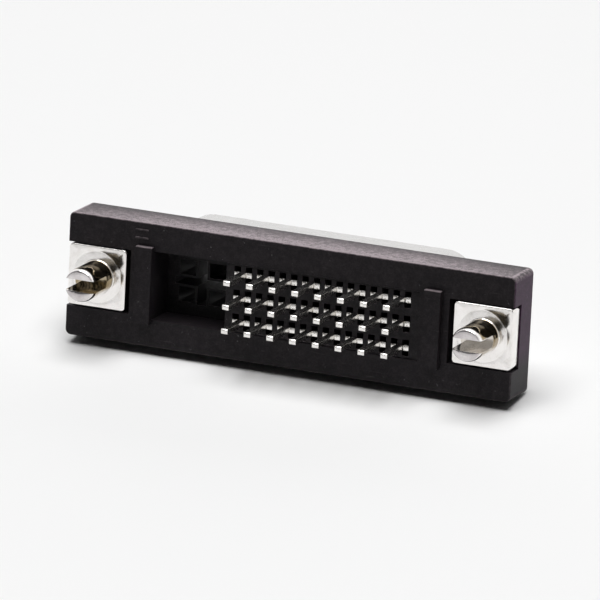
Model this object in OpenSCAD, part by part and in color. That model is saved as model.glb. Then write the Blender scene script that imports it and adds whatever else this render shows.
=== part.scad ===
// Upright board-mount video socket: a black moulded housing, an insulating core with 24 signal
// contacts, a metal front shell and two turned screw locks with slotted board pins.
// It stands on its long side: X runs along the housing, Y points out of the mating face, Z is up.
// The layout grows outwards from the contact pitch, so the housing's length follows from what it holds:
// contact field and recess, then a rib, a wall and a screw lock on each side.

/* [Housing] */
// Height of the housing
housing_h = 9.9; // [9.5:0.05:12]
// Depth of the housing from its rear face to its front face
housing_d = 3.7; // [3.3:0.05:5]
// Rounding of the housing's four corners, seen from the rear
housing_r = 0.45; // [0.1:0.05:1]
// Rounding of the edges round its rear and front faces
housing_edge_r = 0.12; // [0.1:0.02:0.5]
// Distance of a square head's outer side from the housing's end
end_margin = 0.08; // [0:0.02:1]
// Wall between a board rib and the pocket of the square head
rib_wall = 0.59; // [0.3:0.005:2]
// How far the window ends short of the rib on the right
window_step = 0.5; // [0:0.05:1]
// Clearance of the collar in its seat, and of the core in the window
core_gap = 0.04; // [0.02:0.01:0.1]

/* [Board ribs] */
// Width of a board rib
rib_w = 1.35; // [0.8:0.05:1.6]
// Height of a board rib along the housing's height
rib_h = 6.2; // [4:0.1:8]
// How far a rib stands out of the rear face
rib_proud = 0.5; // [0.2:0.05:0.8]
// Length of the two moulded dashes above the left rib
dash_l = 1.1; // [0.6:0.05:1.6]
// Width of a moulded dash
dash_w = 0.12; // [0.08:0.02:0.2]
// How far the dashes stand out
dash_proud = 0.06; // [0.02:0.01:0.2]
// Place of the first and the second dash, as shares of the room between rib and top edge
dash_shares = [0.31, 0.66];

/* [Insulating core] */
// How far the core's rear face lies inside the housing's rear face
core_recess = 0.12; // [0.04:0.02:0.3]
// Length of the open recess behind the ground cross
recess_l = 6.16; // [5.8:0.02:7]
// Depth of that recess from the rear face
recess_d = 3.1; // [2.9:0.05:3.3]
// Height left in the housing above and below the core's collar
collar_wall = 0.6; // [0.4:0.05:0.8]
// How far the collar reaches past the shroud at each end
collar_lap = 0.25; // [0.1:0.05:0.5]
// Thickness of the collar, which the shell traps in the housing
collar_t = 0.8; // [0.6:0.05:1.2]
// How far the tongue that reaches into the plug is shorter than the window at each end
tongue_inset = 0.3; // [0.2:0.05:0.5]
// Depth of the tongue's end face inside the shell's rim
tongue_set_back = 0.4; // [0.2:0.05:1]

/* [Signal contacts] */
// Pitch of the contacts, the same along and across the rows
pitch = 1.905; // [1.85:0.005:2.1]
// Distance from the recess to the middle of the first column
field_left = 1.37; // [1:0.01:2]
// Distance from the middle of the last column to the window's right end
field_right = 1.54; // [1:0.01:2]
// Distance from the middle of the outer rows to the window's upper and lower edges
field_edge = 0.835; // [0.8:0.005:1.2]
// Wall between two contact seats, and between the two slots of one seat
seat_wall = 0.4; // [0.3:0.01:0.5]
// Wall between the slots of two rows
row_wall = 0.6; // [0.4:0.01:0.8]
// Thickness of the contact sheet
contact_t = 0.42; // [0.3:0.02:0.5]
// Width of a solder tail
tail_w = 0.57; // [0.4:0.01:0.6]
// Length of a solder tail behind the rear face
tail_l = 3.15; // [2:0.05:4]
// Length of the tapered tip of a tail
tail_tip = 0.15; // [0.1:0.05:0.5]
// Radius of the fillet at the tail's root
tail_root_r = 0.16; // [0.05:0.01:0.2]
// Length of the solid web between tail and tines
web_l = 0.8; // [0.6:0.05:1.2]
// Width of one spring tine
tine_w = 0.42; // [0.3:0.01:0.44]
// How far the tines bend inwards at their contact points
tine_bend = 0.12; // [0.05:0.01:0.2]
// Length of the bent part of a tine
tine_bend_l = 1.1; // [0.8:0.05:1.4]
// Length of the rounded end of a tine
tine_tip = 0.35; // [0.2:0.05:0.5]
// Clearance between the tines' ends and the wall in front of them
tine_gap = 0.15; // [0.05:0.05:0.3]
// Width and height of a contact hole in the mating face
hole_w = 1.0; // [0.8:0.05:1.2]
// Thickness of the wall in front of the contact cavities
face_wall = 0.6; // [0.4:0.05:0.9]
// Clearance round a contact's web in its seat
contact_gap = 0.02; // [0.01:0.005:0.04]

/* [Ground cross] */
// Distance of the cross from the window's left end
cross_inset = 0.66; // [0.5:0.02:1]
// Length of the long arm of the cross
cross_l = 4.6; // [4:0.05:4.8]
// Width of the long arm
cross_arm_h = 0.62; // [0.5:0.02:0.7]
// Height of the short arm
cross_h = 3.6; // [3:0.05:4]
// Width of the short arm
cross_arm_w = 0.8; // [0.6:0.02:0.9]
// Width of each of the four cells beside the cross
cell_w = 1.38; // [1.2:0.02:1.4]
// Height of each of those cells
cell_h = 1.2; // [1:0.02:1.3]
// Wall between a cell and the arms of the cross
cell_wall = 0.18; // [0.12:0.02:0.3]
// Width of the hole in front of each cell
cell_hole = 1.0; // [0.7:0.05:1.15]

/* [Front shell] */
// Thickness of the shell's sheet
shell_t = 0.35; // [0.25:0.05:0.4]
// How far the shell reaches out of the housing's front face
shell_reach = 5.05; // [4.6:0.05:6]
// Room for the plug's shell between tongue and shroud, at the ends
plug_gap_x = 0.95; // [0.8:0.05:1.2]
// Room for the plug's shell between tongue and shroud, above and below
plug_gap_z = 1.025; // [0.8:0.025:1.2]
// Radius of the shroud's upper corners
shroud_top_r = 2.3; // [1.5:0.1:3]
// Radius of the shroud's lower corners
shroud_low_r = 1.0; // [0.8:0.05:1.2]
// Length of the slanted cut at each lower corner along the housing
shroud_cut_x = 1.5; // [1:0.05:1.8]
// Height of that cut
shroud_cut_z = 3.0; // [2.4:0.1:3.4]
// Distance of the flange's edges from the housing's edges
flange_inset = 0.25; // [0.15:0.05:0.5]
// Rounding of the flange's corners
flange_r = 0.6; // [0.2:0.05:1]
// Number of spring fingers in the shroud's top
finger_count_top = 4; // [2:1:5]
// Number of spring fingers in the shroud's underside
finger_count_low = 3; // [2:1:4]
// Pitch of the spring fingers
finger_pitch = 4.6; // [3.6:0.1:5]
// Width of a spring finger
finger_w = 1.3; // [0.8:0.1:2]
// Length of a spring finger
finger_l = 1.9; // [1.2:0.1:2.2]
// Width of the cut round a spring finger
finger_cut = 0.25; // [0.15:0.05:0.4]
// How far a finger dips inwards
finger_dip = 0.3; // [0.1:0.05:0.4]
// Distance of the fingers' roots from the shroud's rim
finger_set_back = 2.15; // [0.5:0.05:2.3]

/* [Screw locks] */
// Side of the square head
head_w = 4.9; // [4.6:0.05:5.4]
// Thickness of the square head
head_t = 1.45; // [1.2:0.05:1.8]
// Rounding of the head's corners
head_r = 0.3; // [0.1:0.05:0.6]
// Gap round the head in its pocket
head_gap = 0.12; // [0.08:0.01:0.15]
// Wider gap on the head's inner side
head_inner_gap = 0.375; // [0.15:0.005:0.5]
// Diameter of the slotted board pin
pin_d = 2.7; // [2.4:0.05:3]
// Length of the board pin behind the rear face
pin_l = 3.35; // [2.6:0.05:4]
// Diameter of the flat at the pin's end
pin_end_d = 2.3; // [1.8:0.05:2.35]
// Length of the pin's rounded nose
pin_nose = 0.6; // [0.4:0.05:1.2]
// Radius of the small fillet at the pin's root
pin_fillet = 0.1; // [0.05:0.01:0.2]
// Width of the slot between the prongs
pin_slot_w = 0.96; // [0.6:0.02:0.98]
// Length of pin left whole behind the slot
pin_root = 1.1; // [0.5:0.05:1.3]
// How much thinner the two prongs are than the whole part of the pin
pin_relief = 0.02; // [0.01:0.01:0.1]
// Diameter of the barrel that passes through the housing
barrel_d = 3.8; // [3.4:0.05:4.2]
// Clearance round the barrel
barrel_gap = 0.05; // [0.02:0.01:0.1]
// How far the rolled rim that holds the shell reaches past the barrel
rim_lap = 0.3; // [0.2:0.05:0.35]
// Thickness of the rolled rim
rim_t = 0.35; // [0.2:0.05:0.6]
// Diameter of the tapped hole at the crests of its thread
tap_d = 2.3; // [2.1:0.05:2.6]
// Depth of the tapped hole from the rim
tap_l = 3.9; // [3:0.1:4.2]
// Countersink at the mouth of the tapped hole
tap_mouth = 0.3; // [0.1:0.05:0.4]

/* [Hidden] */
$fn = 64;
rows = 3;
cols = 8;
edge_break = 0.1;
arc_steps = 8;
nose_steps = 6;
root_steps = 4;
cut_extra = 1;

// Layout along the housing, measured from its middle
window_l = recess_l + field_left + (cols - 1) * pitch + field_right;
window_left = (window_l + window_step) / 2;
window_right = (window_l - window_step) / 2;
recess_right = window_left - recess_l;
field_x = window_right - field_right - (cols - 1) / 2 * pitch;
cross_x = window_left - cross_inset - cross_l / 2;
core_x = (window_right - window_left) / 2;
rib_x = window_left + rib_w / 2;
pocket_x = rib_x + rib_w / 2 + rib_wall;
lock_x = pocket_x + head_inner_gap + head_w / 2;
housing_l = 2 * (lock_x + head_w / 2 + end_margin);

// Sizes that follow from the window, the seats and the sheet
window_h = (rows - 1) * pitch + 2 * field_edge;
tongue_l = window_l - 2 * tongue_inset;
tongue_h = window_h - 2 * core_gap;
shroud_l = tongue_l + 2 * (plug_gap_x + shell_t);
shroud_h = tongue_h + 2 * (plug_gap_z + shell_t);
collar_l = shroud_l + 2 * collar_lap;
collar_h = housing_h - 2 * collar_wall;
seat_w = pitch - seat_wall;
slot_w = seat_w - pitch / 2;
slot_h = pitch - row_wall;
cavity_h = hole_w;
hole_flare = 0.18;
web_w = seat_w - 2 * contact_gap;
tine_off = pitch / 4;
rim_d = barrel_d + 2 * rim_lap;
prong_d = pin_d - pin_relief;

// Places along Y in the connector's own frame: rear face at y = 0, middle of the height at z = 0
flange_y = housing_d + shell_t;
mouth_y = flange_y + rim_t;
rim_y = housing_d + shell_reach;
tongue_y = rim_y - tongue_set_back;
web_y = core_recess;
tine_y = web_y + web_l;
tine_end_y = tongue_y - face_wall - tine_gap;
bend_y = tine_end_y - tine_bend_l;
finger_y = rim_y - finger_set_back;

// The part's origin is the middle of its box, on the surface that it stands on
shift = [0, (pin_l - rim_y) / 2, housing_h / 2];

function contact_name(i) = str("contact_", i < 10 ? "0" : "", i);
function contact_x(i) = field_x + ((cols - 1) / 2 - (i - 1) % cols) * pitch;
function contact_z(i) = ((rows - 1) / 2 - floor((i - 1) / cols)) * pitch;

// Outlines are lists of corners, counterclockwise; each corner is grown or rounded in turn
function unit(v) = v / norm(v);
function outward(a, b) = let (d = unit(b - a)) [d[1], -d[0]];
function before(pts, i) = pts[(i + len(pts) - 1) % len(pts)];
function after(pts, i) = pts[(i + 1) % len(pts)];
function grown(pts, t) = [
    for (i = [0 : len(pts) - 1])
        let (m = outward(before(pts, i), pts[i]), n = outward(pts[i], after(pts, i)))
            pts[i] + t * (m + n) / (1 + m * n)
];
function corner(a, p, b, r) =
    let (
        u = unit(a - p),
        v = unit(b - p),
        half = acos(u * v) / 2,
        middle = p + unit(u + v) * r / sin(half),
        start = p + u * r / tan(half) - middle,
        from = atan2(start[1], start[0]),
        step = (180 - 2 * half) / arc_steps
    )
    [for (k = [0 : arc_steps]) middle + r * [cos(from + k * step), sin(from + k * step)]];
function rounded(pts, radii) = [
    for (i = [0 : len(pts) - 1]) each corner(before(pts, i), pts[i], after(pts, i), radii[i])
];

// A flat outline in X and Z, pushed along Y from y0 to y1
module along_y(y0, y1) {
    translate([0, y1, 0])
        rotate([90, 0, 0])
            linear_extrude(y1 - y0)
                children();
}

module rounded_plate(w, h, r) {
    square([w - 2 * r, h], center = true);
    square([w, h - 2 * r], center = true);
    for (sx = [-1, 1], sy = [-1, 1])
        translate([sx * (w / 2 - r), sy * (h / 2 - r)])
            circle(r);
}

// A block in the middle of X and Z: its corners are rounded by one radius, and the edges of
// its two faces across Y by another
module rounded_block(w, y0, y1, h, corner_r, edge_r) {
    d = y1 - y0;
    intersection() {
        along_y(y0, y1)
            rounded_plate(w, h, corner_r);
        translate([0, (y0 + y1) / 2, -h / 2])
            linear_extrude(h)
                rounded_plate(w, d, edge_r);
        translate([-w / 2, (y0 + y1) / 2, 0])
            rotate([90, 0, 90])
                linear_extrude(w)
                    rounded_plate(d, h, edge_r);
    }
}

// A plain block from its lowest corner
module block(x, y, z) {
    translate([x[0], y[0], z[0]])
        cube([x[1] - x[0], y[1] - y[0], z[1] - z[0]]);
}

module housing() {
    color([0.11, 0.105, 0.115])
        translate(shift) {
            difference() {
                rounded_block(housing_l, 0, housing_d, housing_h, housing_r, housing_edge_r);
                core_window();
                for (side = [-1, 1]) {
                    head_pocket(side);
                    barrel_hole(side);
                }
            }
            for (side = [-1, 1])
                board_rib(side);
            moulded_dashes();
        }
}

// Opening for the core, with the wider seat of its collar at the front
module core_window() {
    block([-window_left, window_right], [-cut_extra, housing_d + cut_extra], [-window_h / 2, window_h / 2]);
    along_y(housing_d - collar_t, housing_d + cut_extra)
        translate([core_x, 0])
            square([collar_l + 2 * core_gap, collar_h + 2 * core_gap], center = true);
}

// Pocket of a square head, open to the rear face and to the housing's end
module head_pocket(side) {
    outer = housing_l / 2 + cut_extra;
    half = head_w / 2 + head_gap;
    block(side > 0 ? [pocket_x, outer] : [-outer, -pocket_x], [-cut_extra, head_t], [-half, half]);
}

module barrel_hole(side) {
    translate([side * lock_x, 0, 0])
        rotate([-90, 0, 0])
            cylinder(d = barrel_d + 2 * barrel_gap, h = housing_d + cut_extra);
}

module board_rib(side) {
    translate([side * rib_x, 0, 0])
        intersection() {
            rounded_block(rib_w, -rib_proud, housing_d, rib_h, edge_break, edge_break);
            block([-rib_w, rib_w], [-rib_proud, 0], [-rib_h, rib_h]);
        }
}

module moulded_dashes() {
    room = (housing_h - rib_h) / 2;
    left = -rib_x - 0.7 * rib_w;
    for (share = dash_shares)
        translate([left, 0, rib_h / 2 + share * room])
            block([0, dash_l], [-dash_proud, 0], [-dash_w / 2, dash_w / 2]);
}

module insulating_core() {
    color([0.08, 0.08, 0.085])
        translate(shift)
            difference() {
                core_body();
                for (i = [1 : rows * cols])
                    translate([contact_x(i), 0, contact_z(i)])
                        contact_cavity();
                ground_cross();
            }
}

// Rear block in the window, collar behind the flange, and tongue inside the shell
module core_body() {
    block([-recess_right, window_right - core_gap], [core_recess, recess_d],
          [-window_h / 2 + core_gap, window_h / 2 - core_gap]);
    translate([core_x, 0, 0]) {
        along_y(housing_d - collar_t, housing_d)
            square([collar_l, collar_h], center = true);
        rounded_tongue();
    }
}

module rounded_tongue() {
    intersection() {
        rounded_block(tongue_l, 0, tongue_y, tongue_h, 2 * edge_break, edge_break);
        block([-tongue_l, tongue_l], [housing_d - collar_t, tongue_y], [-tongue_h, tongue_h]);
    }
}

// Web seat and two tine slots from the rear, one cavity and its flared hole in front
module contact_cavity() {
    half_seat = contact_t / 2 + contact_gap;
    block([-seat_w / 2, seat_w / 2], [0, tine_y], [-half_seat, half_seat]);
    for (side = [-1, 1])
        translate([side * tine_off, 0, 0])
            block([-slot_w / 2, slot_w / 2], [0, bend_y], [-slot_h / 2, slot_h / 2]);
    block([-seat_w / 2, seat_w / 2], [bend_y - edge_break, tongue_y - face_wall],
          [-cavity_h / 2, cavity_h / 2]);
    block([-hole_w / 2, hole_w / 2], [bend_y, tongue_y + cut_extra], [-hole_w / 2, hole_w / 2]);
    flared_mouth(hole_w);
}

// Sloping lead-in of a square hole in the mating face
module flared_mouth(w) {
    y0 = tongue_y - hole_flare;
    y1 = tongue_y + hole_flare;
    wide = w / 2 + 2 * hole_flare;
    for (turn = [0, 90])
        rotate([0, turn, 0])
            translate([-w / 2, 0, 0])
                rotate([90, 0, 90])
                    linear_extrude(w)
                        polygon([[y0, -w / 2], [y1, -wide], [y1, wide], [y0, w / 2]]);
}

// Cross-shaped slot with four cavities, open to the recess behind
module ground_cross() {
    through = [recess_d - cut_extra, tongue_y + cut_extra];
    cell_x = (cross_arm_w + cell_w) / 2 + cell_wall;
    cell_z = (cross_arm_h + cell_h) / 2 + cell_wall;
    translate([-cross_x, 0, 0]) {
        block([-cross_l / 2, cross_l / 2], through, [-cross_arm_h / 2, cross_arm_h / 2]);
        block([-cross_arm_w / 2, cross_arm_w / 2], through, [-cross_h / 2, cross_h / 2]);
        for (sx = [-1, 1], sz = [-1, 1])
            translate([sx * cell_x, 0, sz * cell_z]) {
                block([-cell_w / 2, cell_w / 2], [recess_d - cut_extra, tongue_y - face_wall],
                      [-cell_h / 2, cell_h / 2]);
                block([-cell_hole / 2, cell_hole / 2], through, [-cell_hole / 2, cell_hole / 2]);
            }
    }
}

// Flat stamped contact: solder tail, shouldered web and two spring tines
module contact() {
    color([0.83, 0.82, 0.79])
        difference() {
            translate([0, 0, -contact_t / 2])
                linear_extrude(contact_t)
                    polygon(concat(contact_side(1), reversed(contact_side(-1))));
            for (turn = [0, 180])
                rotate([0, turn, 0])
                    tail_bevel();
        }
}

function reversed(list) = [for (i = [len(list) - 1 : -1 : 0]) list[i]];

// Quarter turns about a corner at x, y, from the tail up to the shoulder and from a tine to the fork
function root_turn(x, y, r) = [
    for (k = [0 : root_steps]) let (a = 90 * k / root_steps) [x + r * (1 - cos(a)), y - r * (1 - sin(a))]
];
function fork_turn(x, y, r) = [
    for (k = [0 : root_steps]) let (a = 90 * k / root_steps) [x - r * (1 - cos(a)), y + r * (1 - sin(a))]
];

// Right or left half of a contact's outline, from the tail's tip to the fork between the tines
function contact_side(side) =
    let (
        tip_narrowing = 0.05,
        fork_r = 0.05,
        inner = tine_off - tine_w / 2,
        outer = tine_off + tine_w / 2,
        bump_y = tine_end_y - tine_tip
    )
    [
        for (p = concat(
            [[tail_w / 2 - tip_narrowing, -tail_l], [tail_w / 2, -tail_l + tail_tip]],
            root_turn(tail_w / 2, web_y, tail_root_r),
            [[web_w / 2 - fork_r, web_y], [web_w / 2, web_y + fork_r], [web_w / 2, tine_y - edge_break],
             [outer, tine_y], [outer, bend_y], [outer - tine_bend, bump_y],
             [outer - tine_bend, tine_end_y - edge_break], [outer - tine_bend - edge_break, tine_end_y],
             [inner, tine_end_y], [inner - tine_bend, bump_y], [inner - tine_bend, bump_y - tine_tip / 2],
             [inner, bend_y]],
            fork_turn(inner, tine_y, fork_r)
        ))
            [side * p[0], p[1]]
    ];

// Wedge taken off one side of a tail's tip
module tail_bevel() {
    depth = 0.15;
    translate([-tail_w, 0, 0])
        rotate([90, 0, 90])
            linear_extrude(2 * tail_w)
                polygon([[-tail_l - depth, contact_t / 2 - 2 * depth], [-tail_l + tail_tip, contact_t / 2],
                         [-tail_l + tail_tip, contact_t], [-tail_l - depth, contact_t]]);
}

// Corners of the shroud's outer outline before they are rounded
shroud_corners = [
    [-shroud_l / 2 + shroud_cut_x, -shroud_h / 2], [shroud_l / 2 - shroud_cut_x, -shroud_h / 2],
    [shroud_l / 2, -shroud_h / 2 + shroud_cut_z], [shroud_l / 2, shroud_h / 2],
    [-shroud_l / 2, shroud_h / 2], [-shroud_l / 2, -shroud_h / 2 + shroud_cut_z]
];
shroud_radii = [shroud_low_r, shroud_low_r, shroud_top_r, shroud_top_r, shroud_top_r, shroud_top_r];

module shroud_outline(grow) {
    polygon(rounded(grown(shroud_corners, grow), [for (r = shroud_radii) r + grow]));
}

module front_shell() {
    color([0.74, 0.74, 0.75])
        translate(shift)
            difference() {
                union() {
                    shell_flange();
                    translate([core_x, 0, 0])
                        shroud();
                }
                for (side = [-1, 1])
                    barrel_passage(side);
            }
}

module shell_flange() {
    difference() {
        along_y(housing_d, flange_y)
            rounded_plate(housing_l - 2 * flange_inset, housing_h - 2 * flange_inset, flange_r);
        translate([core_x, 0, 0])
            along_y(housing_d - cut_extra, flange_y + cut_extra)
                shroud_outline(-shell_t);
    }
}

module barrel_passage(side) {
    translate([side * lock_x, 0, 0])
        rotate([-90, 0, 0])
            cylinder(d = barrel_d + 2 * barrel_gap, h = flange_y + cut_extra);
}

// Drawn shroud with its spring fingers above and below the tongue
module shroud() {
    difference() {
        along_y(housing_d, rim_y)
            shroud_outline(0);
        along_y(housing_d - cut_extra, rim_y + cut_extra)
            shroud_outline(-shell_t);
        finger_row(finger_count_top, 0)
            finger_window();
        finger_row(finger_count_low, 180)
            finger_window();
    }
    finger_row(finger_count_top, 0)
        spring_finger();
    finger_row(finger_count_low, 180)
        spring_finger();
}

module finger_row(count, turn) {
    rotate([0, turn, 0])
        for (k = [0 : count - 1])
            translate([(k - (count - 1) / 2) * finger_pitch, 0, shroud_h / 2 - shell_t])
                children();
}

module finger_window() {
    half = finger_w / 2 + finger_cut;
    block([-half, half], [finger_y - finger_l - finger_cut, finger_y], [-shell_t, 2 * shell_t]);
}

// A finger hangs from the rim side of its window, dips inwards and turns up at its free end
module spring_finger() {
    bump_y = finger_y - 0.72 * finger_l;
    free_y = finger_y - finger_l;
    free_dip = finger_dip / 3;
    translate([-finger_w / 2, 0, 0])
        rotate([90, 0, 90])
            linear_extrude(finger_w)
                polygon([[finger_y, 0], [finger_y, shell_t], [bump_y, shell_t - finger_dip],
                         [free_y, shell_t - free_dip], [free_y, -free_dip], [bump_y, -finger_dip]]);
}

// Turned screw lock: slotted board pin, square head, barrel with rolled rim, tapped hole
module screw_lock(side) {
    color([0.86, 0.85, 0.83])
        translate(shift)
            translate([side * lock_x, 0, 0])
                difference() {
                    union() {
                        rotate([90, 0, 0])
                            rotate_extrude()
                                polygon(turned_profile);
                        rounded_block(head_w, 0, head_t, head_w, head_r, edge_break);
                    }
                    prong_slot();
                    tapped_hole();
                }
}

// Radius against distance behind the rear face, so what lies in front of it is negative
turned_profile = concat(
    [[0, -mouth_y], [rim_d / 2 - edge_break, -mouth_y], [rim_d / 2, -mouth_y + edge_break],
     [rim_d / 2, -flange_y], [barrel_d / 2, -flange_y], [barrel_d / 2, -head_t / 2],
     [pin_d / 2 + pin_fillet, -head_t / 2]],
    [for (k = [0 : nose_steps]) let (a = 90 * k / nose_steps)
        [pin_d / 2 + pin_fillet * (1 - sin(a)), pin_fillet * (1 - cos(a))]],
    [[pin_d / 2, pin_root - pin_fillet], [prong_d / 2, pin_root]],
    [for (k = [0 : nose_steps]) let (a = 90 * k / nose_steps)
        [pin_end_d / 2 + (prong_d - pin_end_d) / 2 * cos(a), pin_l - pin_nose * (1 - sin(a))]],
    [[0, pin_l]]
);

// The slot lies level, so the prongs are one above the other
module prong_slot() {
    block([-pin_d, pin_d], [-pin_l - cut_extra, -pin_root], [-pin_slot_w / 2, pin_slot_w / 2]);
}

module tapped_hole() {
    translate([0, mouth_y, 0])
        rotate([90, 0, 0]) {
            cylinder(d = tap_d, h = tap_l);
            translate([0, 0, -tap_mouth])
                cylinder(d1 = tap_d + 4 * tap_mouth, d2 = tap_d, h = 2 * tap_mouth);
        }
}

module left_screw_lock() {
    screw_lock(-1);
}

module right_screw_lock() {
    screw_lock(1);
}

module placed_contact(i) {
    translate(shift)
        translate([contact_x(i), 0, contact_z(i)])
            contact();
}

housing();
insulating_core();
front_shell();
left_screw_lock();
right_screw_lock();
for (i = [1 : rows * cols])
    placed_contact(i);
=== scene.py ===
"""Looks of an upright board-mount video socket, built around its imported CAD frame.

Lengths in the mesh code are in millimetres, from the rear face (y = 0) and the middle of the
height (z = 0). make_piece() puts each mesh in its place in the frame, in metres.
"""

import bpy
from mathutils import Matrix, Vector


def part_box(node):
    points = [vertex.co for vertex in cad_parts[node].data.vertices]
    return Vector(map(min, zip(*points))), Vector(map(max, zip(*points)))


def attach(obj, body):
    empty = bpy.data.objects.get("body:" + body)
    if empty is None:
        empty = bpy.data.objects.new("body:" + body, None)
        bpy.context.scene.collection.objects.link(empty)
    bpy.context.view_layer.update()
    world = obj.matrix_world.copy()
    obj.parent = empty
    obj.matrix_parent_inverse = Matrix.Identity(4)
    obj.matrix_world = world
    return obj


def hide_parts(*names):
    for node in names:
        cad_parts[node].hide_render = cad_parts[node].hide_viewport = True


bl_info = {
    "name": "Board-mount video socket",
    "version": (1, 0, 0),
    "blender": (4, 5, 0),
    "location": "3D View > Sidebar > Socket",
    "description": "Builds the socket's dressed pieces, their finishes and a studio stage",
    "category": "Add Mesh",
}

import math
from types import SimpleNamespace

import bmesh
import bpy
from bpy.props import FloatProperty, FloatVectorProperty, IntProperty, PointerProperty
from mathutils import Matrix, Vector

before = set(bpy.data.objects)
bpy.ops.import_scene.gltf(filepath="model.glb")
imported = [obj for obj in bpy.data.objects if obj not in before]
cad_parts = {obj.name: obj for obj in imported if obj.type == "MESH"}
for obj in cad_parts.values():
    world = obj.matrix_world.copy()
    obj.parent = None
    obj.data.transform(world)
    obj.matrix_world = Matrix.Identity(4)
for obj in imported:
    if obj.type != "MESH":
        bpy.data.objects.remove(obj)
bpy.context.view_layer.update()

MM = 0.001
ACROSS = {"x": Vector((1, 0, 0)), "y": Vector((0, 1, 0)), "z": Vector((0, 0, 1))}
CONTACTS = ["contact_%02d" % i for i in range(1, 25)]
# In millimetres: lengths that differ by less are the same, and points that near are welded
NEAR = 0.001
WELD = 0.0001


def same(first, second):
    """Whether two lengths are the same."""
    return abs(first - second) < NEAR


def cad_box(node):
    """A CAD node's lowest and highest corner in millimetres."""
    low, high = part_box(node)
    return low / MM, high / MM


# Sizes and colours


def length(title, text, millimetres):
    """A length that is typed in millimetres and kept in metres."""
    return FloatProperty(
        name=title, description=text, default=millimetres * MM, min=0.0, precision=5, unit="LENGTH"
    )


def angle(title, text, degrees):
    """An angle that is typed in degrees and kept in radians."""
    return FloatProperty(name=title, description=text, default=math.radians(degrees), subtype="ANGLE")


def colour(title, text, rgb):
    """A colour as its linear red, green and blue."""
    return FloatVectorProperty(
        name=title, description=text, default=rgb, size=3, min=0.0, max=1.0, subtype="COLOR"
    )


def share(title, text, value):
    """A plain number from 0 to 1."""
    return FloatProperty(name=title, description=text, default=value, min=0.0, max=1.0)


def in_mm(group):
    """A group's values as plain numbers, with its lengths in millimetres."""
    values = SimpleNamespace()
    for name, kind in group.bl_rna.properties.items():
        if name not in ("rna_type", "name"):
            value = getattr(group, name)
            setattr(values, name, value / MM if kind.unit == "LENGTH" else value)
    return values


class HousingSizes(bpy.types.PropertyGroup):
    corner_r: length("Corner rounding", "Rounding of the four outer corners", 0.45)
    rim_r: length("Rim rounding", "Rounding round the rear and front faces", 0.12)
    edge_r: length("Edge rounding", "Rounding of window, pockets and ribs", 0.07)
    core_edge: length("Core edge", "Softening of the core's edges", 0.03)
    rib_proud: length("Rib height", "How far a rib stands out of the rear face", 0.5)
    rib_w: length("Rib width", "Width of a board rib", 1.35)
    rib_h: length("Rib length", "Length of a board rib", 6.2)
    rib_wall: length("Rib wall", "Wall between a rib and the pocket beside it", 0.59)
    end_wall: length("End margin", "Housing left beyond a square head", 0.08)
    head_gap: length("Head gap", "Gap inward of a square head", 0.375)
    window_step: length("Window step", "How far the window ends short of the right rib", 0.5)
    window_h: length("Window height", "Height of the core window", 5.48)
    pocket_d: length("Pocket depth", "Depth of a square head's pocket", 1.45)
    pocket_gap: length("Pocket gap", "Gap above and below a square head", 0.12)
    hole_r: length("Barrel hole radius", "Radius of the hole of a barrel", 1.95)
    seat_l: length("Collar seat length", "Length of the core collar's seat", 24.985)
    seat_h: length("Collar seat height", "Height of the core collar's seat", 8.78)
    seat_d: length("Collar seat depth", "Depth of the core collar's seat", 0.8)
    seat_x: length("Collar seat offset", "How far the seat lies to the left", 0.25)
    dash_l: length("Dash length", "Length of a moulded dash", 1.1)
    dash_w: length("Dash width", "Width of a moulded dash", 0.12)
    dash_proud: length("Dash height", "How far a dash stands out", 0.06)
    dash_low: length("First dash", "Rise of the first dash above the rib", 0.5735)
    dash_high: length("Second dash", "Rise of the second dash above the rib", 1.221)


class LockSizes(bpy.types.PropertyGroup):
    head_w: length("Head width", "Side of the square head", 4.9)
    head_t: length("Head thickness", "Thickness of the square head", 1.45)
    head_r: length("Head corner radius", "Rounding of the head's corners", 0.3)
    head_edge: length("Head edge", "Rounding of the head's edges", 0.09)
    ring_r: length("Turned ring", "Radius of the turned ring in the head's face", 2.06)
    ring_d: length("Ring depth", "Depth of the turned ring", 0.012)
    pin_r: length("Pin radius", "Radius of the slotted board pin", 1.35)
    pin_end_r: length("Pin end radius", "Radius of the flat at the pin's end", 1.15)
    pin_nose: length("Nose length", "Length of the pin's rounded nose", 0.6)
    pin_fillet: length("Root fillet", "Radius of the fillet at the pin's root", 0.1)
    slot_w: length("Slot width", "Width of the slot between the prongs", 0.96)
    slot_root: length("Slot root", "Length of pin left whole", 1.1)
    slot_edge: length("Slot edge", "Rounding of the prongs' edges", 0.04)
    barrel_r: length("Barrel radius", "Radius of the barrel in the housing", 1.9)
    rim_r: length("Rim radius", "Radius of the rolled rim on the flange", 2.2)
    rim_t: length("Rim thickness", "Thickness of the rolled rim", 0.35)
    rim_edge: length("Rim edge", "Rounding of rim and mouth", 0.1)
    thread_r: length("Crest radius", "Radius of the hole at the crests", 1.15)
    thread_d: length("Thread depth", "Depth of the thread's grooves", 0.2)
    thread_pitch: length("Thread pitch", "Distance between two crests", 0.635)
    hole_d: length("Hole depth", "Depth of the tapped hole", 3.9)
    mouth: length("Countersink", "Depth of the hole's countersink", 0.3)


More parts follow.
